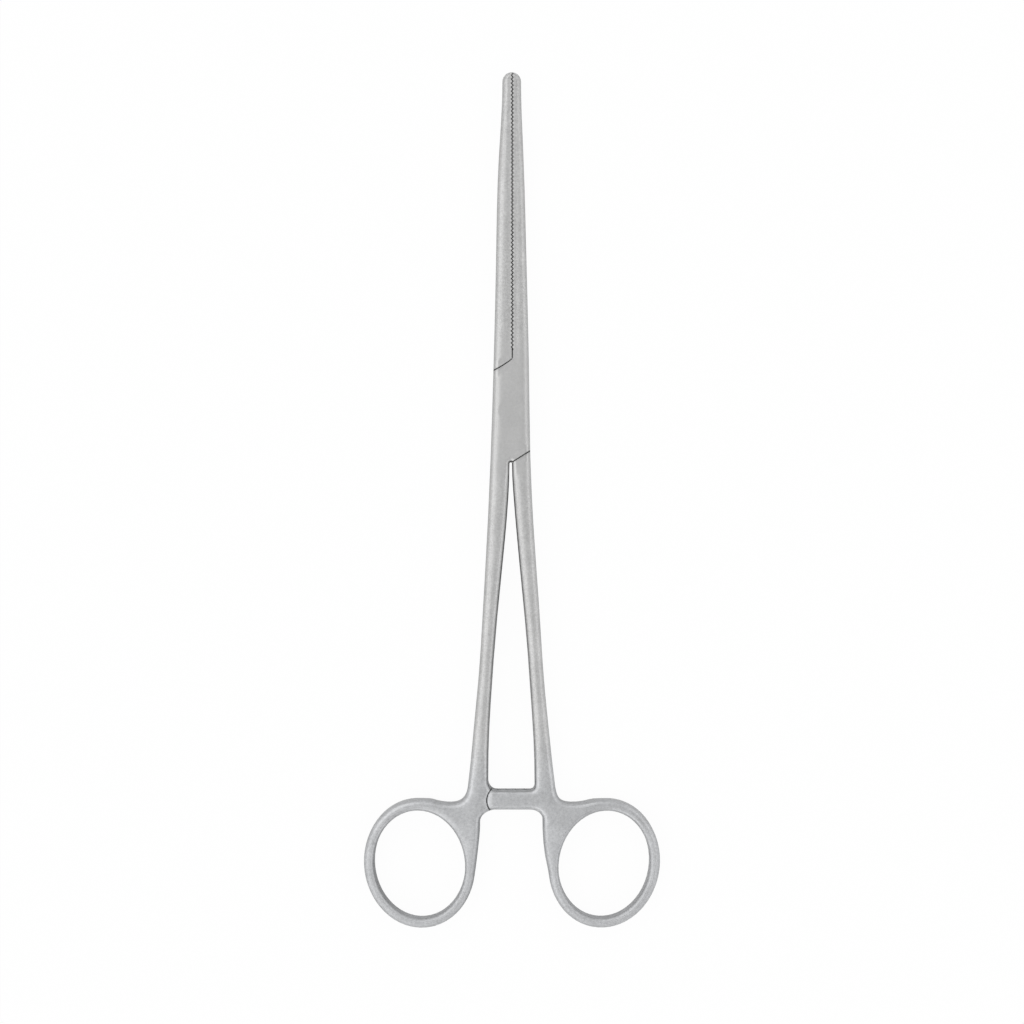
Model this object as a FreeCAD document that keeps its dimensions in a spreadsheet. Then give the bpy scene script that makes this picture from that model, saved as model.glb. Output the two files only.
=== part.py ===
import FreeCAD, Part
import math
import os
from FreeCAD import Vector

# Straight locking forceps with a box lock, closed on the last step of the ratchet.
# X runs across the instrument, Y from the rings to the jaws, Z up through its thickness.
# The pivot axis is X = 0, Y = 0. The pieces are drawn about the middle plane and raised at
# the end, so that the back of the box lock lies at Z = 0.

doc = FreeCAD.newDocument("hemostat_forceps")
sheet = doc.addObject("Spreadsheet::Sheet", "sizes")

SIZES = [
    ("box_thickness", 6.2, "box lock, face to face"),
    ("jaw_length", 87.3, "pivot to the tips"),
    ("nose_radius", 2.4, "both tips together, seen from the front"),
    ("nose_offset", 0.2, "centre of the nose from the pivot axis"),
    ("parting_offset", 0.35, "plane between the jaws from the pivot axis"),
    ("tip_half_thickness", 1.5, "jaws at their tips"),
    ("ring_half_thickness", 2.2, "finger rings at their foot"),
    ("left_jaw_outer", 3.15, "left edge, three quarters up the jaws"),
    ("right_jaw_outer", 3.25, "right edge, three quarters up the jaws"),
    ("left_jaw_inner", 3.87, "left edge, nearer the box"),
    ("right_jaw_inner", 4.03, "right edge, nearer the box"),
    ("left_box_top", 4.46, "left edge at the upper shoulder"),
    ("right_box_top", 4.62, "right edge at the upper shoulder"),
    ("left_box_bottom", 5.14, "left edge at the lower shoulder"),
    ("right_box_bottom", 4.93, "right edge at the lower shoulder"),
    ("left_shank_upper", 5.99, "left edge below the box"),
    ("right_shank_upper", 5.78, "right edge below the box"),
    ("left_shank_middle", 7.28, "left edge half way down the shank"),
    ("right_shank_middle", 7.38, "right edge half way down the shank"),
    ("left_shank_lower", 8.28, "left edge below the middle"),
    ("right_shank_lower", 8.39, "right edge below the middle"),
    ("left_shank_foot", 9.73, "left edge above the ratchet"),
    ("right_shank_foot", 9.88, "right edge above the ratchet"),
    ("left_shank_end", 10.92, "left edge at the ratchet"),
    ("right_shank_end", 11.2, "right edge at the ratchet"),
    ("gap_half_width", 0.33, "gap between the shanks at its top"),
    ("gap_offset", 0.06, "middle of that gap, left of the pivot axis"),
    ("gap_top", 13.2, "pivot to the top of the gap"),
    ("inner_upper", 0.65, "inner edge of a shank, below the box"),
    ("inner_middle", 2.71, "inner edge of a shank, half way"),
    ("inner_lower", 4.14, "inner edge of a shank, below the middle"),
    ("inner_foot", 5.24, "inner edge of a shank, above the ratchet"),
    ("left_window", 5.87, "inner edge of the left shank at the ratchet"),
    ("right_window", 6.1, "inner edge of the right shank at the ratchet"),
    ("left_window_run", 2.2, "corner above the arms on the left, across"),
    ("left_window_rise", 2.5, "corner above the arms on the left, along"),
    ("right_window_run", 1.2, "corner above the arms on the right, across"),
    ("right_window_rise", 1.3, "corner above the arms on the right, along"),
    ("arm_top", 97.65, "pivot to the upper edge of the arms"),
    ("arm_width", 4.95, "ratchet arm, along the instrument"),
    ("left_notch_run", 4.2, "corner below the arms on the left, across"),
    ("left_notch_rise", 3.2, "corner below the arms on the left, along"),
    ("right_notch_run", 3.3, "corner below the arms on the right, across"),
    ("right_notch_rise", 2.5, "corner below the arms on the right, along"),
    ("left_leg_inset", 1.27, "left ring's leg, from the ring's inner side towards the axis"),
    ("right_leg_inset", 1.58, "right ring's leg, from the ring's inner side towards the axis"),
    ("leg_bulge", 0.8, "hollow of the legs beside the holes"),
    ("leg_bulge_height", 1.5, "that hollow from the hole centres"),
    ("flare_height", 2.45, "where the shanks begin to spread, above the arms"),
    ("left_hole", 23.5, "centre of the left finger hole from the axis"),
    ("right_hole", 23.98, "centre of the right finger hole from the axis"),
    ("hole_y", 116.7, "pivot to the centres of the finger holes"),
    ("hole_length", 27.86, "finger hole along its long axis"),
    ("hole_width", 23.35, "finger hole across"),
    ("ring_side_band", 2.6, "ring beside its hole"),
    ("ring_top_band", 2.74, "ring above its hole"),
    ("ring_foot_band", 2.47, "ring below its hole"),
    ("left_tilt", 7.5, "long axis of the left ring from the instrument's, degrees"),
    ("right_tilt", 10.5, "long axis of the right ring from the instrument's, degrees"),
    ("crotch_x", 14.65, "lowest point of the web between shank and ring"),
    ("crotch_y", 100.95, "pivot to that point"),
    ("edge_radius", 1.25, "long outer edges"),
    ("window_edge_radius", 1.1, "inner edges of the shanks and the arms"),
    ("hole_edge_radius", 0.85, "edges of the finger holes"),
    ("tooth_pitch", 1.03, "jaw teeth, from one to the next"),
    ("tooth_depth", 0.44, "jaw teeth"),
    ("tooth_gap", 0.03, "air between the meshed teeth"),
    ("tooth_relief", 0.22, "groove along the teeth, on each face of the jaws"),
    ("tooth_core", 1.8, "thickness of the meshed teeth between the grooves"),
    ("first_tooth", 0.76, "tip to the first tooth"),
    ("last_tooth", 15.0, "pivot to the last tooth"),
    ("shoulder_outer", 9.86, "shoulder at the outer edge, from the pivot"),
    ("shoulder_middle", 11.36, "shoulder half way, from the pivot"),
    ("shoulder_inner", 13.2, "shoulder at the parting plane, from the pivot"),
    ("shoulder_gap", 0.18, "air at the shoulders"),
    ("low_shoulder_drop", 0.44, "what the lower shoulder lies further out than the upper"),
    ("flat_end", 0.4, "flat of the box beyond each shoulder's inner end"),
    ("web_height", 3.3, "end of a slot's slanted wall at the outer edge"),
    ("tongue_thickness", 2.4, "tongue through the box"),
    ("tongue_gap", 0.06, "air on each face of the tongue"),
    ("tongue_side_gap", 0.14, "air at the tongue's edges"),
    ("pin_radius", 1.5, "lock pin"),
    ("pin_gap", 0.06, "running clearance of the pin in the tongue"),
    ("arm_end_reach", 0.24, "how far an arm's end goes into the other shank"),
    ("arm_end_bulge", 1.1, "bulge of an arm's round end"),
    ("arm_end_overrun", 0.3, "what an arm's round end is drawn wider than the arm, on each side"),
    ("arm_end_gap", 0.2, "air round an arm's end"),
    ("arm_face_gap", 0.1, "air between the two arms"),
    ("ratchet_pitch", 2.35, "ratchet teeth, from one to the next"),
    ("ratchet_depth", 0.95, "ratchet teeth"),
    ("ratchet_land", 0.25, "flat crest of a ratchet tooth"),
    ("ratchet_count", 4, "teeth on each arm"),
]

for row, (alias, value, note) in enumerate(SIZES, start=1):
    sheet.set("A%d" % row, alias)
    sheet.set("B%d" % row, str(value))
    sheet.set("C%d" % row, note)
    sheet.setAlias("B%d" % row, alias)
doc.recompute()

# Stations along the instrument, as shares of the jaw's, the box's and the shank's own lengths.
JAW_OUTER_SHARE = 0.742
JAW_INNER_SHARE = 0.423
BOX_TOP_SHARE = 1.056
BOX_BOTTOM_SHARE = 0.836
SHANK_OUTER_SHARES = {"shank_upper": 0.191, "shank_middle": 0.465, "shank_lower": 0.648, "shank_foot": 0.831}
SHANK_INNER_SHARES = {"inner_upper": 0.1, "inner_middle": 0.374, "inner_lower": 0.557, "inner_foot": 0.74}

# The web between a shank and its ring, and the ring's leg, seen on the right side.
# The turn and the foot are shares of the web's own drop.
FLARE = Vector(0.13, -0.99, 0)
WEB_TURN = Vector(0.087, -0.548, 0)
WEB_FOOT = Vector(-0.357, 0.139, 0)
LEG_ANGLE = math.radians(110)

# The shoulders run across the box along this direction.
SHOULDER_RUN = Vector(0.83, 0.56, 0)
SHOULDER_NORMAL = Vector(-0.56, 0.83, 0)
# Cutters reach this far past what they cut.
BEYOND = 40.0
PAST = 5.0
# Places closer than this are the same place.
NEAR = 0.01
UP = Vector(0, 1, 0)
DOWN = Vector(0, -1, 0)
ACROSS = Vector(1, 0, 0)


def size(alias):
    return float(sheet.get(alias))


def bind(item, **links):
    for prop, formula in links.items():
        item.setExpression(prop.replace("__", "."), formula)


def line(start, end):
    return Part.LineSegment(start, end)


def arc(start, middle, end):
    return Part.Arc(start, middle, end)


def spline(points, start_direction, end_direction):
    curve = Part.BSplineCurve()
    curve.interpolate(Points=points, InitialTangent=start_direction, FinalTangent=end_direction)
    return curve


def round_corner(start, corner, end):
    """Quarter of an ellipse from start to end, which lie on the legs of a square corner."""
    centre = start + end - corner
    upright = (start - corner).Length > (end - corner).Length
    long_end, short_end = (end, start) if upright else (start, end)
    ellipse = Part.Ellipse(long_end, short_end, centre)
    first = ellipse.parameter(start)
    last = ellipse.parameter(end)
    if (last - first) % (2 * math.pi) > math.pi:
        first, last = last, first
    return Part.ArcOfEllipse(ellipse, first, last)


def polygon(points):
    return [line(a, b) for a, b in zip(points, points[1:] + points[:1])]


def on_side(side, point):
    """A point or direction given for the right side, mirrored for the left."""
    return Vector(side * point.x, point.y, point.z)


def named(side, name):
    return side * size(("right_" if side > 0 else "left_") + name)


def shank_station(share):
    """Place on the shank between the gap's top and the ratchet arms."""
    return -(size("gap_top") + share * (size("arm_top") - size("gap_top")))


def hole_centre(side):
    return Vector(named(side, "hole"), -size("hole_y"), 0)


def ring_ellipse(side, top_band, side_band, foot_band):
    """Ellipse round a finger hole, with the given bands of metal between the two."""
    tilt = math.radians(named(side, "tilt"))
    long_axis = Vector(math.sin(tilt), math.cos(tilt), 0)
    short_axis = Vector(-long_axis.y, long_axis.x, 0)
    centre = hole_centre(side) + long_axis * ((top_band - foot_band) / 2)
    tip = centre + long_axis * ((size("hole_length") + top_band + foot_band) / 2)
    flank = centre + short_axis * (size("hole_width") / 2 + side_band)
    return Part.Ellipse(tip, flank, centre)


def side_outline(side):
    """Curves of one side of the closed instrument, from the nose round the ring to the arm."""
    nose_y = size("jaw_length") - size("nose_radius")
    nose_x = size("nose_offset") + side * size("nose_radius")
    edge = [
        Vector(nose_x, nose_y, 0),
        Vector(named(side, "jaw_outer"), size("jaw_length") * JAW_OUTER_SHARE, 0),
        Vector(named(side, "jaw_inner"), size("jaw_length") * JAW_INNER_SHARE, 0),
        Vector(named(side, "box_top"), size("shoulder_middle") * BOX_TOP_SHARE, 0),
        Vector(named(side, "box_bottom"), -size("shoulder_middle") * BOX_BOTTOM_SHARE, 0),
    ]
    edge += [Vector(named(side, name), shank_station(share), 0) for name, share in SHANK_OUTER_SHARES.items()]
    shank_end = Vector(named(side, "shank_end"), -size("arm_top") + size("flare_height"), 0)
    edge.append(shank_end)
    flare = on_side(side, FLARE)
    outer_edge = spline(edge, DOWN, flare)

    ring = ring_ellipse(side, size("ring_top_band"), size("ring_side_band"), size("ring_foot_band"))
    tilt = math.radians(named(side, "tilt"))
    top_angle = math.atan2(ring.MinorRadius * math.sin(tilt), ring.MajorRadius * math.cos(tilt))
    leg_angle = side * LEG_ANGLE
    top = ring.value(top_angle)
    crotch = Vector(side * size("crotch_x"), -size("crotch_y"), 0)
    drop = shank_end.y - crotch.y
    web = [
        shank_end,
        shank_end + on_side(side, WEB_TURN) * drop,
        crotch + on_side(side, WEB_FOOT) * drop,
        crotch,
        (crotch + top) * 0.5,
        top,
    ]
    web_edge = spline(web, flare, ACROSS * side)

    if side > 0:
        band = Part.ArcOfEllipse(ring, leg_angle, 2 * math.pi + top_angle)
    else:
        band = Part.ArcOfEllipse(ring, top_angle, 2 * math.pi + leg_angle)
    ring_side = named(side, "hole") - side * (size("hole_width") / 2 + size("ring_side_band"))
    leg = ring_side - named(side, "leg_inset")
    leg_middle = Vector(leg + side * size("leg_bulge"), -size("hole_y") + size("leg_bulge_height"), 0)
    square = Vector(leg, -size("arm_top") - size("arm_width"), 0)
    leg_end = square + DOWN * abs(named(side, "notch_rise"))
    corner_end = square - ACROSS * named(side, "notch_run")
    leg_direction = ring.tangent(leg_angle)[0] * -side
    leg_edge = spline([ring.value(leg_angle), leg_middle, leg_end], leg_direction, UP)
    corner = round_corner(leg_end, square, corner_end)
    return [outer_edge, web_edge, band, leg_edge, corner], corner_end


def silhouette():
    """Outer loop of the closed instrument."""
    right, right_end = side_outline(1)
    left, left_end = side_outline(-1)
    nose_y = size("jaw_length") - size("nose_radius")
    nose = arc(
        Vector(size("nose_offset") + size("nose_radius"), nose_y, 0),
        Vector(size("nose_offset"), size("jaw_length"), 0),
        Vector(size("nose_offset") - size("nose_radius"), nose_y, 0),
    )
    return [nose] + right + [line(right_end, left_end)] + left


def window():
    """Loop of the gap between the shanks, above the ratchet."""
    curves = []
    ends = []
    top_y = -size("gap_top") - size("gap_half_width")
    for side in (1, -1):
        start = Vector(-size("gap_offset") + side * size("gap_half_width"), top_y, 0)
        square = Vector(named(side, "window"), -size("arm_top"), 0)
        foot = square + UP * abs(named(side, "window_rise"))
        points = [start]
        points += [Vector(side * size(name), shank_station(share), 0) for name, share in SHANK_INNER_SHARES.items()]
        points.append(foot)
        corner_end = square - ACROSS * named(side, "window_run")
        curves.append(spline(points, DOWN, DOWN))
        curves.append(round_corner(foot, square, corner_end))
        ends.append((start, corner_end))
    curves.append(line(ends[0][1], ends[1][1]))
    gap_peak = Vector(-size("gap_offset"), -size("gap_top"), 0)
    curves.append(arc(ends[0][0], gap_peak, ends[1][0]))
    return curves


def finger_holes():
    return [ring_ellipse(side, 0, 0, 0) for side in (1, -1)]


def falling_arc(face, start, reach, drop):
    """Arc that leaves the flat of the box level, has fallen by drop at the distance reach and goes on."""
    box = size("box_thickness") / 2
    radius = (reach**2 + drop**2) / (2 * drop)
    run = reach + math.copysign(PAST, reach)
    falls = [radius - math.sqrt(radius**2 - place**2) for place in (0, run / 2, run)]
    return arc(
        Vector(start, face * (box - falls[0]), 0),
        Vector(start + run / 2, face * (box - falls[1]), 0),
        Vector(start + run, face * (box - falls[2]), 0),
    )


def side_profile(face):
    """Loop that leaves the thickness of the instrument below it, seen along X. Points are (Y, Z)."""
    box = size("box_thickness") / 2
    top = size("shoulder_inner") + size("flat_end")
    bottom = -size("gap_top") + size("flat_end")
    ring_foot = -size("hole_y") - size("hole_length") / 2 - size("ring_foot_band")
    jaw = falling_arc(face, top, size("jaw_length") - top, box - size("tip_half_thickness"))
    shank = falling_arc(face, bottom, ring_foot - bottom, box - size("ring_half_thickness"))
    high = Vector(0, face * BEYOND, 0)
    return [
        line(jaw.StartPoint, shank.StartPoint),
        jaw,
        shank,
        line(jaw.EndPoint, jaw.EndPoint + high),
        line(jaw.EndPoint + high, shank.EndPoint + high),
        line(shank.EndPoint + high, shank.EndPoint),
    ]


def tooth_line(plane):
    """Points of the zigzag between the jaws, from beyond the tips to below the last tooth."""
    pitch = size("tooth_pitch")
    depth = size("tooth_depth") / 2
    first = size("jaw_length") - size("first_tooth")
    count = int((first - size("last_tooth")) / pitch)
    points = [Vector(plane, size("jaw_length") + PAST, 0), Vector(plane, first, 0)]
    for tooth in range(count):
        y = first - tooth * pitch
        points.append(Vector(plane - depth, y - pitch / 4, 0))
        points.append(Vector(plane + depth, y - pitch * 3 / 4, 0))
    points.append(Vector(plane, first - count * pitch, 0))
    return points


def relief_strip():
    """Region of the grooves along the teeth: the zigzag, as wide as the groove."""
    half = size("tooth_relief") / 2
    near_side = tooth_line(size("parting_offset") - half)
    far_side = tooth_line(size("parting_offset") + half)
    return polygon(near_side + far_side[::-1])


def female_zone(level, growth):
    """Region in front view that belongs to the half with the box, on the front or the rear level.

    level is 1 for the front and -1 for the rear, growth is the share of each air gap added.
    """
    plane = size("parting_offset") + (0.5 - growth) * size("tooth_gap")
    far = BEYOND + size("hole_width")
    tip = size("jaw_length")
    points = tooth_line(plane)
    curves = [line(a, b) for a, b in zip(points, points[1:])]

    away = SHOULDER_NORMAL * (growth * size("shoulder_gap"))
    outer = size("left_box_bottom")
    upper_in = Vector(plane, size("shoulder_inner"), 0) + Vector(0, away.y, 0)
    upper_middle = Vector(-size("left_box_top") / 2, size("shoulder_middle"), 0) + away
    upper_edge = Vector(-outer, size("shoulder_outer"), 0) + away
    upper_out = upper_edge - SHOULDER_RUN * PAST
    curves.append(line(points[-1], upper_in))
    curves.append(arc(upper_in, upper_middle, upper_edge))
    curves.append(line(upper_edge, upper_out))

    end_top, end_tip, end_bottom = arm_end(level, growth)
    low_drop = size("low_shoulder_drop")
    low_in = Vector(-size("gap_offset") + size("gap_half_width"), -size("gap_top"), 0) - away
    low_middle = Vector(size("right_box_bottom") / 2, -size("shoulder_middle") - low_drop, 0) - away
    low_edge = Vector(outer, -size("shoulder_outer") - low_drop / 2, 0) - away
    low_out = low_edge + SHOULDER_RUN * PAST
    gap = Vector(-size("gap_offset"), -size("gap_top") - 2 * size("gap_half_width"), 0)
    above_arm = Vector(0, -size("arm_top") + PAST, 0)
    below_arm = Vector(0, -size("arm_top") - size("arm_width") - PAST, 0)
    bottom = -size("hole_y") - size("hole_length")
    curves.append(line(upper_out, Vector(-far, upper_out.y, 0)))
    curves.append(line(Vector(-far, upper_out.y, 0), Vector(-far, bottom, 0)))
    curves.append(line(Vector(-far, bottom, 0), Vector(0, bottom, 0)))
    curves.append(line(Vector(0, bottom, 0), below_arm))
    curves.append(line(below_arm, end_bottom))
    curves.append(arc(end_bottom, end_tip, end_top))
    curves.append(line(end_top, above_arm))
    curves.append(line(above_arm, gap))
    curves.append(line(gap, low_in))
    curves.append(arc(low_in, low_middle, low_edge))
    curves.append(line(low_edge, low_out))
    curves.append(line(low_out, Vector(far, low_out.y, 0)))
    curves.append(line(Vector(far, low_out.y, 0), Vector(far, tip + PAST, 0)))
    curves.append(line(Vector(far, tip + PAST, 0), points[0]))
    return curves


def arm_end(level, growth):
    """Round end of this level's arm: the front arm's is on the left, the rear arm's on the right."""
    side = -level
    middle = -size("arm_top") - size("arm_width") / 2
    half = size("arm_width") / 2 + size("arm_end_overrun")
    air = growth if side > 0 else 1 - growth
    reach = abs(named(side, "window")) + size("arm_end_reach") + air * size("arm_end_gap")
    shoulder = reach - size("arm_end_bulge")
    top = Vector(side * shoulder, middle + half, 0)
    tip = Vector(side * reach, middle, 0)
    bottom = Vector(side * shoulder, middle - half, 0)
    return top, tip, bottom


def reach_x(point, direction, x):
    """Point of a slanted line at a given X."""
    return point + direction * ((x - point.x) / direction.x)


def slot_region(share):
    """Region in front view that the tongue turns in (share 0) or that it fills (share 1)."""
    air = share * size("tongue_side_gap")
    high = (size("shoulder_inner") + size("last_tooth")) / 2
    wide = size("left_box_bottom") + PAST
    plane = size("parting_offset") + size("tooth_gap") / 2
    gap_left = -size("gap_offset") - size("gap_half_width")
    gap_right = -size("gap_offset") + size("gap_half_width")

    corner = Vector(plane, size("shoulder_inner"), 0)
    wall = Vector(size("right_box_top"), size("web_height"), 0) - corner
    inward = Vector(wall.y, -wall.x, 0)
    inward.normalize()
    low_corner = Vector(gap_left, -size("gap_top"), 0)
    low_wall = Vector(-size("left_box_bottom"), -size("web_height"), 0) - low_corner
    low_inward = Vector(low_wall.y, -low_wall.x, 0)
    low_inward.normalize()

    inner_x = plane - share * size("tooth_gap")
    top = reach_x(corner + inward * air, wall, inner_x)
    right = reach_x(top, wall, wide)
    left = reach_x(low_corner + low_inward * air, low_wall, -wide)
    if share > 0:
        floor_y = low_corner.y + air
        start = low_corner + low_inward * air
        low = start + low_wall * ((floor_y - start.y) / low_wall.y)
        foot = [Vector(gap_right + air, -high, 0), Vector(gap_right + air, floor_y, 0), low]
    else:
        in_gap = Vector(-size("gap_offset"), -size("gap_top") - size("gap_half_width") / 2, 0)
        foot = [Vector(in_gap.x, -high, 0), in_gap, low_corner]
    return polygon(
        [Vector(-wide, high, 0), Vector(inner_x, high, 0), top, right, Vector(wide, -high, 0)] + foot + [left]
    )


def arm_overlap():
    """Region in front view where the front arm lies over the rear one."""
    left_top, left_tip, left_bottom = arm_end(1, 0)
    right_top, right_tip, right_bottom = arm_end(-1, 1)
    return [
        arc(left_top, left_tip, left_bottom),
        line(left_bottom, right_bottom),
        arc(right_bottom, right_tip, right_top),
        line(right_top, left_top),
    ]


def ratchet_grooves(level):
    """Sawtooth grooves in one arm, seen along Y with X to the right and Z up."""
    curves = []
    run = size("ratchet_pitch") - size("ratchet_land")
    count = int(size("ratchet_count"))
    for tooth in range(count):
        steep = (tooth - (count - 1) / 2) * size("ratchet_pitch")
        crest = Vector(steep, 0, 0)
        root = Vector(steep, level * (size("ratchet_depth") + size("arm_face_gap") / 2), 0)
        slope = Vector(steep + level * run, 0, 0)
        curves += polygon([crest, root, slope])
    return curves


def loose_sketch(name, curves, rotation=None, base=None):
    sketch = doc.addObject("Sketcher::SketchObject", name)
    sketch.addGeometry(curves, False)
    sketch.Placement = FreeCAD.Placement(base or Vector(0, 0, 0), rotation or FreeCAD.Rotation())
    return sketch


def extrusion(name, sketch, direction, forward, backward="0"):
    solid = doc.addObject("Part::Extrusion", name)
    solid.Base = sketch
    solid.DirMode = "Custom"
    solid.Dir = direction
    solid.Solid = True
    bind(solid, LengthFwd=forward, LengthRev=backward)
    return solid


def body_sketch(body, role, name, curves):
    plane = [item for item in body.Origin.OriginFeatures if item.Role == role][0]
    sketch = body.newObject("Sketcher::SketchObject", name)
    sketch.AttachmentSupport = [(plane, "")]
    sketch.MapMode = "FlatFace"
    sketch.addGeometry(curves, False)
    return sketch


def profile_cut(body, face, name):
    """Trims one face of the blank to the side profile."""
    sketch = body_sketch(body, "YZ_Plane", name + "_profile", side_profile(face))
    cut = body.newObject("PartDesign::Pocket", name)
    cut.Profile = sketch
    cut.Type = "ThroughAll"
    cut.Midplane = True
    return cut


def rim_edges(shape, curves):
    """Edges of the front and back faces that follow a loop of the front view."""
    loop = Part.Compound([curve.toShape() for curve in curves])
    rims = []
    for number, edge in enumerate(shape.Edges, start=1):
        box = edge.BoundBox
        middle = edge.valueAt((edge.FirstParameter + edge.LastParameter) / 2)
        spot = Part.Vertex(middle.x, middle.y, 0)
        upright = box.ZMin < 0 < box.ZMax
        if not upright and spot.distToShape(loop)[0] < NEAR:
            rims.append("Edge%d" % number)
    return rims


def round_edges(body, base, name, curves, radius):
    doc.recompute()
    fillet = body.newObject("PartDesign::Fillet", name)
    fillet.Base = (base, rim_edges(base.Shape, curves))
    bind(fillet, Radius=radius)
    return fillet


def closed_blank():
    """Both halves in one, as if forged closed, with rounded long edges."""
    body = doc.addObject("PartDesign::Body", "closed_blank")
    outline = body_sketch(body, "XY_Plane", "silhouette", silhouette() + window() + finger_holes())
    pad = body.newObject("PartDesign::Pad", "full_thickness")
    pad.Profile = outline
    pad.Midplane = True
    bind(pad, Length="sizes.box_thickness * 2")
    doc.recompute()
    profile_cut(body, 1, "front_profile_cut")
    doc.recompute()
    trimmed = profile_cut(body, -1, "back_profile_cut")
    holes = round_edges(body, trimmed, "hole_rounding", finger_holes(), "sizes.hole_edge_radius")
    inner = round_edges(body, holes, "window_rounding", window(), "sizes.window_edge_radius")
    round_edges(body, inner, "outline_rounding", silhouette(), "sizes.edge_radius")
    doc.recompute()
    return body


def join(kind, name, parts):
    """Boolean of two objects: the first is the base of a cut."""
    item = doc.addObject(kind, name)
    item.Base, item.Tool = parts
    return item


def cut_all(name, base, tools):
    """Takes the tools from the base one after another; the last cut gets the name."""
    for tool in tools:
        base = join("Part::Cut", name if tool is tools[-1] else "%s_less_%s" % (name, tool.Name), [base, tool])
    return base


def tooth_reliefs(name):
    """The grooves along the teeth, on the front and on the back of the jaws."""
    reliefs = []
    for level, face in ((1, "front"), (-1, "rear")):
        groove_name = "%s_%s_relief" % (name, face)
        base = Vector(0, 0, level * size("tooth_core") / 2)
        sketch = loose_sketch(groove_name + "_outline", relief_strip(), None, base)
        reliefs.append(extrusion(groove_name, sketch, Vector(0, 0, level), "sizes.box_thickness"))
    return reliefs


def zone_solid(name, growth):
    """The female half's share of space, front level and rear level together."""
    front = loose_sketch(name + "_front_outline", female_zone(1, growth))
    rear = loose_sketch(name + "_rear_outline", female_zone(-1, growth))
    front_solid = extrusion(name + "_front", front, Vector(0, 0, 1), "sizes.box_thickness")
    rear_solid = extrusion(name + "_rear", rear, Vector(0, 0, -1), "sizes.box_thickness")
    levels = join("Part::Fuse", name + "_levels", [front_solid, rear_solid])
    reliefs = join("Part::Fuse", name + "_reliefs", tooth_reliefs(name))
    return join("Part::Fuse" if growth > 0 else "Part::Cut", name, [levels, reliefs])


def through_box(name, curves, half_thickness):
    sketch = loose_sketch(name + "_outline", curves)
    return extrusion(name, sketch, Vector(0, 0, 1), half_thickness, half_thickness)


def round_bar(name, radius, height):
    bar = doc.addObject("Part::Cylinder", name)
    bind(bar, Radius=radius, Height=height, Placement__Base__z="-(%s) / 2" % height)
    return bar


def grooves(name, level):
    """The sawtooth grooves as one solid that is cut from an arm."""
    turn = FreeCAD.Rotation(Vector(1, 0, 0), 90)
    start = Vector(0, -size("arm_top") + PAST, 0)
    sketch = loose_sketch(name + "_outline", ratchet_grooves(level), turn, start)
    return extrusion(name, sketch, Vector(0, -1, 0), "sizes.arm_width + 2 * %g" % PAST)


def female_half(blank):
    """Right jaw, box, left shank, left ring and rear ratchet arm, forged in one piece."""
    forging = join("Part::Common", "female_forging", [blank, zone_solid("female_zone", 0)])
    slot = through_box("slot", slot_region(0), "sizes.tongue_thickness / 2 + sizes.tongue_gap")
    seat = round_bar("pin_seat", "sizes.pin_radius", "sizes.box_thickness * 2")
    gap = through_box("rear_arm_gap", arm_overlap(), "sizes.arm_face_gap / 2")
    return cut_all("female_half", forging, [slot, seat, gap, grooves("rear_grooves", -1)])


def male_half(blank):
    """Left jaw, tongue through the box, right shank, right ring and front ratchet arm, in one piece."""
    forging = join("Part::Cut", "male_forging", [blank, zone_solid("male_zone", 1)])
    bar = through_box("tongue_bar", slot_region(1), "sizes.tongue_thickness / 2")
    tongue = join("Part::Common", "tongue", [blank, bar])
    whole = join("Part::Fuse", "male_with_tongue", [forging, tongue])
    bore = round_bar("pin_bore", "sizes.pin_radius + sizes.pin_gap", "sizes.box_thickness * 2")
    gap = through_box("front_arm_gap", arm_overlap(), "sizes.arm_face_gap / 2")
    return cut_all("male_half", whole, [bore, gap, grooves("front_grooves", 1)])


def lock_pin():
    """Pin through the box, ground flush with both cheeks."""
    return round_bar("lock_pin", "sizes.pin_radius", "sizes.box_thickness")


blank = closed_blank()
nodes = [female_half(blank), male_half(blank), lock_pin()]
for node in nodes:
    node.Label = node.Name
    bind(node, Placement__Base__z="sizes.box_thickness / 2")
bind(nodes[2], Placement__Base__z="0")
doc.recompute()

for item in doc.Objects:
    if "Invalid" in item.State or "Error" in item.State:
        raise RuntimeError("failed: " + item.Name)
os.makedirs("parts", exist_ok=True)
for node in nodes:
    shape = node.Shape
    if shape.isNull() or not shape.isValid():
        raise RuntimeError("bad shape: " + node.Label)
    print(node.Label, "solids", len(shape.Solids), "volume %.1f" % shape.Volume)
    shape.exportStep("parts/%s.step" % node.Label)
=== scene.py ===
import bpy
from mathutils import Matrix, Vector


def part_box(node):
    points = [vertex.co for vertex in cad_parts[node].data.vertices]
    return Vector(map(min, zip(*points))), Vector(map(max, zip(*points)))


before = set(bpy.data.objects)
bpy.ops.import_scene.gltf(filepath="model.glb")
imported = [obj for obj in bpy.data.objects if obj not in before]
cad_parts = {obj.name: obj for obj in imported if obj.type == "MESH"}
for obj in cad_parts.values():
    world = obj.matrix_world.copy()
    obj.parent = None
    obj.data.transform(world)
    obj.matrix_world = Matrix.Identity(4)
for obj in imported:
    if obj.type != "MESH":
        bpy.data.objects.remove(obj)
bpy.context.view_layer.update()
print("frame loaded:", ", ".join(sorted(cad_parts)))

# Lengths are in metres, along the frame's own axes, and colours are linear.
# Where a mask takes a pair of values, it starts at the first and is full at the second.


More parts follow.
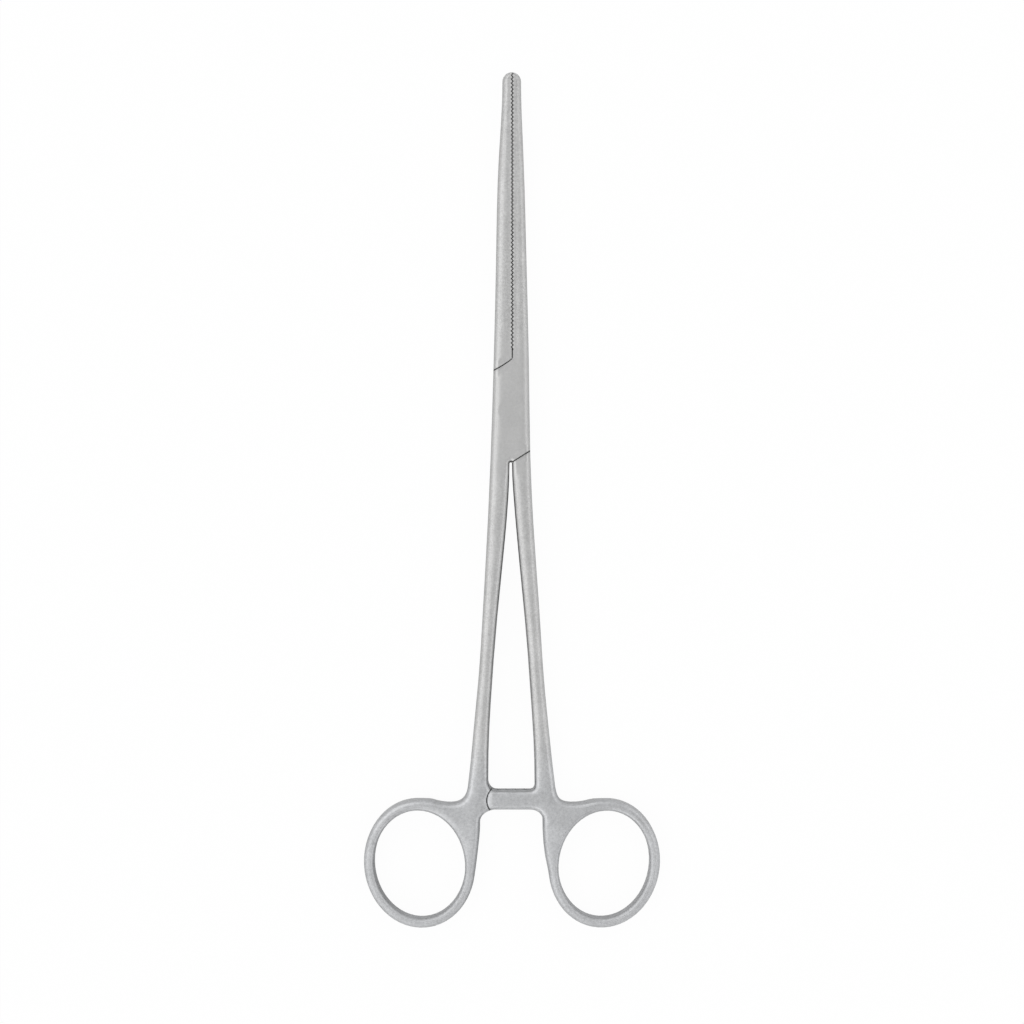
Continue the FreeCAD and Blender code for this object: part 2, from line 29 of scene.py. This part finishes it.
class Socket:
    # an output socket, wrapped so that shader maths reads as plain Python
    def __init__(self, shader, output):
        self.shader = shader
        self.output = output

    def maths(self, operation, other=0.0):
        return self.shader.add("Math", {"operation": operation}, i0=self, i1=other)

    def __add__(self, other):
        return self.maths("ADD", other)

    def __sub__(self, other):
        return self.maths("SUBTRACT", other)

    def __rsub__(self, other):
        return self.maths("MULTIPLY", -1.0) + other

    def __mul__(self, other):
        return self.maths("MULTIPLY", other)

    __radd__ = __add__
    __rmul__ = __mul__

    def between(self, start, full):
        # 0 at start, 1 at full and smooth in between, rising or falling
        rising = start < full
        return self.shader.add(
            "MapRange",
            {"interpolation_type": "SMOOTHSTEP"},
            out="Result",
            Value=self,
            From_Min=min(start, full),
            From_Max=max(start, full),
            To_Min=0.0 if rising else 1.0,
            To_Max=1.0 if rising else 0.0,
        )


class Shader:
    # the node tree of one material, or of the world
    def __init__(self, owner):
        owner.use_nodes = True
        self.tree = owner.node_tree
        self.tree.nodes.clear()

    def add(self, kind, settings=None, out=0, **inputs):
        # an input goes by its name, with _ for a space, or by its number, as in i0
        node = self.tree.nodes.new("ShaderNode" + kind)
        for name, value in (settings or {}).items():
            setattr(node, name, value)
        for name, value in inputs.items():
            key = int(name[1:]) if name[1:].isdigit() else name.replace("_", " ")
            if isinstance(value, Socket):
                self.tree.links.new(value.output, node.inputs[key])
            else:
                node.inputs[key].default_value = value
        return Socket(self, node.outputs[out]) if node.outputs else None

    def axis(self, name, vector):
        return self.add("SeparateXYZ", out=name, Vector=vector)

    def length(self, x, y):
        plan = self.add("CombineXYZ", X=x, Y=y)
        return self.add("VectorMath", {"operation": "LENGTH"}, out="Value", i0=plan)

    def noise(self, place, size, detail, roughness):
        values = {"Scale": 1 / size, "Detail": detail, "Roughness": roughness}
        return self.add("TexNoise", Vector=place, **values)

    def mixColour(self, factor, first, second):
        # a Mix node in colour mode: factor, A and B are its inputs 0, 6 and 7
        return self.add("Mix", {"data_type": "RGBA"}, out=2, i0=factor, i6=first, i7=second)

    def mixVector(self, factor, first, second):
        # a Mix node in vector mode: factor, A and B are its inputs 0, 4 and 5
        return self.add("Mix", {"data_type": "VECTOR"}, out=1, i0=factor, i4=first, i5=second)


def opaque(colour):
    return tuple(colour) + (1.0,)


seamSettings = {
    "parting": 0.00035,                   # X of the line between the jaws
    "partingStart": 0.0120,               # Y of its lower end
    "ease": (0.0012, 0.0022),             # distance from a shoulder at which flanks ease again
    "jawEase": (0.0008, 0.0018),          # and from the parting line
    "crotch": (0.0, -0.0140),             # where the shanks part
    "crotchEase": (0.0012, 0.0050),
    "easeFacing": (0.30, 0.70),           # side walls stay as they are
    "edgeRadius": 0.00025,                # soft edge where the halves meet
    "edgeBend": (1.0, 0.97),              # how far its normal turns away from the plain one
    "crownRadius": 0.0027,                # how far a rounded flank eases into the face
    "flatterRings": 0.45,                 # share of that ease the arms and rings do without
    "pinEase": (0.0031, 0.00341),         # no eased edge this near the flush pin
    "across": (-0.56, 0.83),              # direction square to both shoulders
    "shoulders": ((0.01084, -1), (-0.01125, 1)),  # place along it, and left or right half
    "cornerDepth": 0.0010,                # depth of the painted shade below the edge of a shoulder
    "cornerReach": (0.0010, 0.0030),      # from the middle outwards
    "firstTooth": 0.08654,                # Y where the teeth begin, at the tips
    "lastTooth": 0.0158,                  # and where they end, above the box
    "toothPitch": 0.00103,
    "toothReach": 0.00022,                # the zigzag swings this far to either side
    "zigzagShadeReach": (0.00023, 0.00011),      # distance from the zigzag, for the line of painted shade
    "zigzagShadeStart": 0.0134,                  # that line goes on below the teeth, to here
    "paintedGlint": 0.30,                        # painted highlight on the flanks of the teeth
    "glintSide": (-0.4, -1.2),            # on the side that the zigzag swings away from
    "glintReach": (2.8, 1.8),             # and this near, in swings of the zigzag
    "sharp": 0.0001,                      # length of a fade that reads as a sharp end
}


def besideParting(x):
    # 0 on the line between the jaws, 1 away from it
    return (x - seamSettings["parting"]).maths("ABSOLUTE").between(*seamSettings["jawEase"])


def acrossShoulders(x, y):
    return x * seamSettings["across"][0] + y * seamSettings["across"][1]


def easedNormal(shader, x, y, facing, towardsRings):
    # the flanks ease into the faces, but seams keep crisp edges and the pin stays flush
    seam = seamSettings
    near, far = seam["ease"]
    belowParting = y.between(seam["partingStart"], seam["partingStart"] - near)
    crown = besideParting(x).maths("MAXIMUM", belowParting)
    across = acrossShoulders(x, y)
    for place, side in seam["shoulders"]:
        beside = (across - place).maths("ABSOLUTE").between(near, far)
        crown = crown * beside.maths("MAXIMUM", x.between(-side * near, -side * far))
    fromCrotch = shader.length(x - seam["crotch"][0], y - seam["crotch"][1])
    crown = crown * fromCrotch.between(*seam["crotchEase"]) * facing.between(*seam["easeFacing"])
    crown = crown * (1.0 - towardsRings * seam["flatterRings"])

    awayFromPin = shader.length(x, y).between(*seam["pinEase"])
    plain = shader.add("NewGeometry", out="Normal")
    crisp = shader.add("Bevel", {"samples": 4}, Radius=seam["edgeRadius"])
    eased = shader.add("Bevel", {"samples": 8}, Radius=seam["crownRadius"])
    normal = shader.mixVector(awayFromPin, plain, shader.mixVector(crown, crisp, eased))
    bend = shader.add("VectorMath", {"operation": "DOT_PRODUCT"}, out="Value", i0=plain, i1=crisp)
    return normal, bend.between(*seam["edgeBend"]) * awayFromPin


def shoulderEndShade(x, y):
    # painted shade below the outer end of each shoulder
    seam = seamSettings
    across = acrossShoulders(x, y)
    near, far = seam["cornerReach"]
    corners = 0.0
    for place, side in seam["shoulders"]:
        below = across.between(place - seam["cornerDepth"], place)
        below = below * across.between(place + seam["sharp"], place)
        corners = below * x.between(side * near, side * far) + corners
    return corners


def toothMarks(x, y):
    # where the teeth are, the painted highlight on their flanks and the painted shade along their
    # zigzag
    seam = seamSettings
    sharp = seam["sharp"]
    belowTeeth = y.between(seam["lastTooth"], seam["lastTooth"] - sharp)
    inTeeth = 1.0 - besideParting(x).maths("MAXIMUM", belowTeeth)
    # a triangle wave from -1 to 1, in the middle of its swing where the teeth begin
    turn = (seam["firstTooth"] - y) * (1 / seam["toothPitch"]) + 0.25
    swing = (turn.maths("FRACT") - 0.5).maths("ABSOLUTE") * 4.0 - 1.0
    zigzag = swing * y.between(seam["lastTooth"], seam["lastTooth"] + sharp)
    aside = (x - seam["parting"]) * (1 / seam["toothReach"])
    paintedGlint = (aside * zigzag).between(*seam["glintSide"])
    paintedGlint = paintedGlint * aside.maths("ABSOLUTE").between(*seam["glintReach"])
    fromZigzag = (aside - zigzag).maths("ABSOLUTE") * seam["toothReach"]
    zigzagShade = fromZigzag.between(*seam["zigzagShadeReach"])
    zigzagShade = zigzagShade * y.between(seam["zigzagShadeStart"], seam["zigzagShadeStart"] + sharp)
    return inTeeth, paintedGlint * seam["paintedGlint"], zigzagShade


satinSteel = {
    "colour": (0.565, 0.565, 0.562),
    "ringColour": (0.566, 0.573, 0.584),  # the arms and rings look a little cooler
    "ringTint": (-0.080, -0.098),         # Y along which that tint comes in
    "wallShade": 0.78,                    # share of the colour left on the side walls, as painted shade
    "wallFacing": (0.80, 0.30),           # upward part of the normal on a wall
    "innerShade": 0.72,                   # share of that left inside the left shank and ring, as painted shade
    "innerFacing": (0.3, 0.9),            # sideways part of the normal there
    "innerSide": (-0.0003, -0.0013),      # and X
    "creviceShade": 0.07,                         # share of the colour left deep in a seam, as painted shade
    "creviceShadeReach": 0.0009,
    "creviceShadeAir": (0.12, 0.85),             # open air round a point, from full painted shade to none
    "edgeShade": 0.30,                        # share of the colour left along the shoulders' edges, as painted shade
    "toothShade": 0.12,                   # share of the colour left on the walls between closed teeth, as painted shade
    "shutAir": (0.55, 0.15),              # open air at which teeth count as closed
    "zigzagShadeShare": 0.25,                    # share of the colour left in a fine line along the zigzag, as painted shade
    "zigzagShadeFacing": (0.5, 0.8),             # on the faces, not down in the gap
    "cornerShade": 0.87,                  # share of the colour left below the outer ends of the shoulders, as painted shade
    "roughness": 0.34,
    "roughnessSpread": 0.18,
    "ringRoughness": 0.16,                # added on the rings, below the webs
    "ringBand": (-0.1050, -0.1090),
    "boxSpread": 0.50,                    # how much the speckle shows on the box, ground smoother
    "blastedSpread": 1.30,                # and everywhere else
    "blastedFrom": (0.0150, 0.0220),      # distance from the pin along the instrument
    "grain": (0.00022, 2.0, 0.6),         # blasted dimples: their size, detail and roughness
    "cluster": (0.0006, 3.0, 0.6),        # patches in which the dimples crowd
    "mottle": (0.0045, 3.0, 0.5),         # a slow change over all
    "speckleShares": (0.40, 0.42, 0.18),  # of these three in the colour
    "bumpShares": (0.6, 0.4),             # and of grain and patches in the bump
    "bumpStrength": 0.6,
    "grainHeight": 0.000006,
}


def shaded(lift, mask, share):
    # only this share of the colour is left where the mask is full, as painted shade
    return lift * (1.0 - mask * (1.0 - share))


def makeSatinSteel(name, softEdges):
    look = satinSteel
    material = bpy.data.materials.new(name)
    shader = Shader(material)
    place = shader.add("TexCoord", out="Object")
    x = shader.axis("X", place)
    y = shader.axis("Y", place)
    turned = shader.add("TexCoord", out="Normal")
    facing = shader.axis("Z", turned).maths("ABSOLUTE")

    grain = shader.noise(place, *look["grain"])
    cluster = shader.noise(place, *look["cluster"])
    mottle = shader.noise(place, *look["mottle"])
    shares = look["speckleShares"]
    speckle = grain * shares[0] + cluster * shares[1] + mottle * shares[2] - 0.5

    towardsRings = y.between(*look["ringTint"])
    steel = shader.mixColour(towardsRings, opaque(look["colour"]), opaque(look["ringColour"]))
    wall = facing.between(*look["wallFacing"])
    inner = shader.axis("X", turned).between(*look["innerFacing"]) * x.between(*look["innerSide"])
    air = shader.add("AmbientOcclusion", {"samples": 5}, out="AO", Distance=look["creviceShadeReach"])
    blasted = y.maths("ABSOLUTE").between(*look["blastedFrom"])
    spread = blasted * (look["blastedSpread"] - look["boxSpread"]) + look["boxSpread"]
    lift = speckle * spread + 1.0
    # painted shade on the side walls
    lift = shaded(lift, wall, look["wallShade"])
    # painted shade inside the left shank and ring
    lift = shaded(lift, inner, look["innerShade"])
    # painted shade deep in seams and crevices, where little open air is round a point
    lift = shaded(lift, 1.0 - air.between(*look["creviceShadeAir"]), look["creviceShade"])

    bumpShares = look["bumpShares"]
    bump = {
        "Height": grain * bumpShares[0] + cluster * bumpShares[1],
        "Strength": look["bumpStrength"],
        "Distance": look["grainHeight"],
    }
    if softEdges:
        bump["Normal"], edge = easedNormal(shader, x, y, facing, towardsRings)
        inTeeth, paintedGlint, zigzagShade = toothMarks(x, y)
        # painted shade along the crisp edges of the seams
        lift = shaded(lift, edge * (1.0 - inTeeth), look["edgeShade"])
        # painted shade below the outer ends of the shoulders
        lift = shaded(lift, shoulderEndShade(x, y), look["cornerShade"])
        # painted shade on the walls between closed teeth
        lift = shaded(lift, wall * inTeeth * air.between(*look["shutAir"]), look["toothShade"])
        # painted highlight on the flanks of the teeth, and painted shade along their zigzag
        lift = shaded(lift * (paintedGlint + 1.0), zigzagShade * facing.between(*look["zigzagShadeFacing"]),
                      look["zigzagShadeShare"])

    rough = speckle * look["roughnessSpread"] + look["roughness"]
    surface = shader.add(
        "BsdfPrincipled",
        Base_Color=shader.add("VectorMath", {"operation": "SCALE"}, i0=steel, i3=lift),
        Metallic=1.0,
        Roughness=rough + y.between(*look["ringBand"]) * look["ringRoughness"],
        Normal=shader.add("Bump", **bump),
    )
    shader.add("OutputMaterial", Surface=surface)
    return material


def dressNodes():
    steel = makeSatinSteel("satinSteel", softEdges=True)
    pinSteel = makeSatinSteel("pinSteel", softEdges=False)
    for name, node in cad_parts.items():
        material = pinSteel if name == "lock_pin" else steel
        if not node.data.materials:
            node.data.materials.append(material)
        for slot in node.material_slots:
            slot.link = "OBJECT"
            slot.material = material
    print("steel on", len(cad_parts), "nodes")


floorSettings = {
    "size": 3.0,
    "colour": (0.92, 0.92, 0.92),
    "paper": 0.96,                        # share of plain white that the camera sees
    "paperInMetal": 0.20,                 # and that the steel mirrors
    "gapMiddle": 0.00035,                 # white paper would show between the teeth only here
    "besideGap": (0.0006, 0.0009),        # distance in X from there
    "belowGap": (0.0128, 0.012672),       # and Y
    "shadowReach": 0.006,                 # in that strip the paper keeps its deepest shadow
    "litAir": (0.02, 0.25),
}


def makeFloor():
    look = floorSettings
    bpy.ops.mesh.primitive_plane_add(size=look["size"], location=(0, 0, 0))
    floor = bpy.context.object
    floor.name = "floor"
    material = bpy.data.materials.new("paperFloor")
    shader = Shader(material)
    paper = shader.add("BsdfDiffuse", Color=opaque(look["colour"]))
    plainWhite = shader.add("Emission", Color=(1, 1, 1, 1), Strength=1.0)
    place = shader.add("TexCoord", out="Object")
    fromGap = (shader.axis("X", place) - look["gapMiddle"]).maths("ABSOLUTE")
    air = shader.add("AmbientOcclusion", {"samples": 2}, out="AO", Distance=look["shadowReach"])
    lit = air.between(*look["litAir"]).maths("MAXIMUM", fromGap.between(*look["besideGap"]))
    lit = lit.maths("MAXIMUM", shader.axis("Y", place).between(*look["belowGap"]))
    seen = shader.add("LightPath", out="Is Camera Ray") * lit * look["paper"]
    seen = seen + shader.add("LightPath", out="Is Glossy Ray") * look["paperInMetal"]
    shader.add("OutputMaterial", Surface=shader.add("MixShader", i0=seen, i1=paper, i2=plainWhite))
    floor.data.materials.append(material)
    print("floor laid")


skySettings = {
    "zenith": 0.70,                       # the camera's own shade
    "shadeSide": 0.20,                    # it stands a little to the right of straight above
    "shadeStretch": 0.50,                 # and is longer along the instrument
    "shadeEdge": (0.54, 0.30),
    "shadeUp": (0.0, 0.2),                # none of it is below the horizon
    "ring": 1.36,                         # brightest band, round that shade
    "ringFall": (0.70, 0.12),             # from the ring down to the horizon
    "horizon": 0.64,
    "below": 0.60,
    "belowUp": (0.0, -0.05),
}


def makeSky():
    sky = skySettings
    world = bpy.data.worlds.new("studio")
    bpy.context.scene.world = world
    shader = Shader(world)
    direction = shader.add("TexCoord", out="Generated")
    up = shader.axis("Z", direction)
    side = shader.axis("X", direction) - sky["shadeSide"]
    along = shader.axis("Y", direction) * sky["shadeStretch"]
    shade = shader.length(side, along).between(*sky["shadeEdge"]) * up.between(*sky["shadeUp"])
    fall = up.between(*sky["ringFall"])
    level = sky["ring"] + shade * (sky["zenith"] - sky["ring"])
    level = level + fall * (sky["horizon"] - sky["ring"])
    level = level - up.between(*sky["belowUp"]) * (sky["horizon"] - sky["below"])
    seen = shader.add("LightPath", out="Is Camera Ray")
    level = level * (1.0 - seen) + seen  # the camera itself sees plain white
    shader.add("OutputWorld", Surface=shader.add("Background", Color=(1, 1, 1, 1), Strength=level))
    bpy.context.scene.view_settings.view_transform = "Standard"
    print("sky set")


cameraSettings = {
    "place": (0.00027, -0.02606),         # above the middle of the picture
    "height": 0.450,                      # above the middle of the instrument
    "frameWidth": 0.26426,                # what the picture spans at that level
    "sensor": 36.0,
    "clipStart": 0.01,
}


def makeCamera():
    settings = cameraSettings
    low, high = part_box("lock_pin")
    middle = (low[2] + high[2]) / 2
    data = bpy.data.cameras.new("camera")
    data.sensor_width = settings["sensor"]
    data.lens = settings["sensor"] * settings["height"] / settings["frameWidth"]
    data.clip_start = settings["clipStart"]
    camera = bpy.data.objects.new("camera", data)
    camera.location = settings["place"] + (middle + settings["height"],)
    bpy.context.scene.collection.objects.link(camera)
    bpy.context.scene.camera = camera
    print("camera placed, lens %.1f mm" % data.lens)


dressNodes()
makeFloor()
makeSky()
makeCamera()
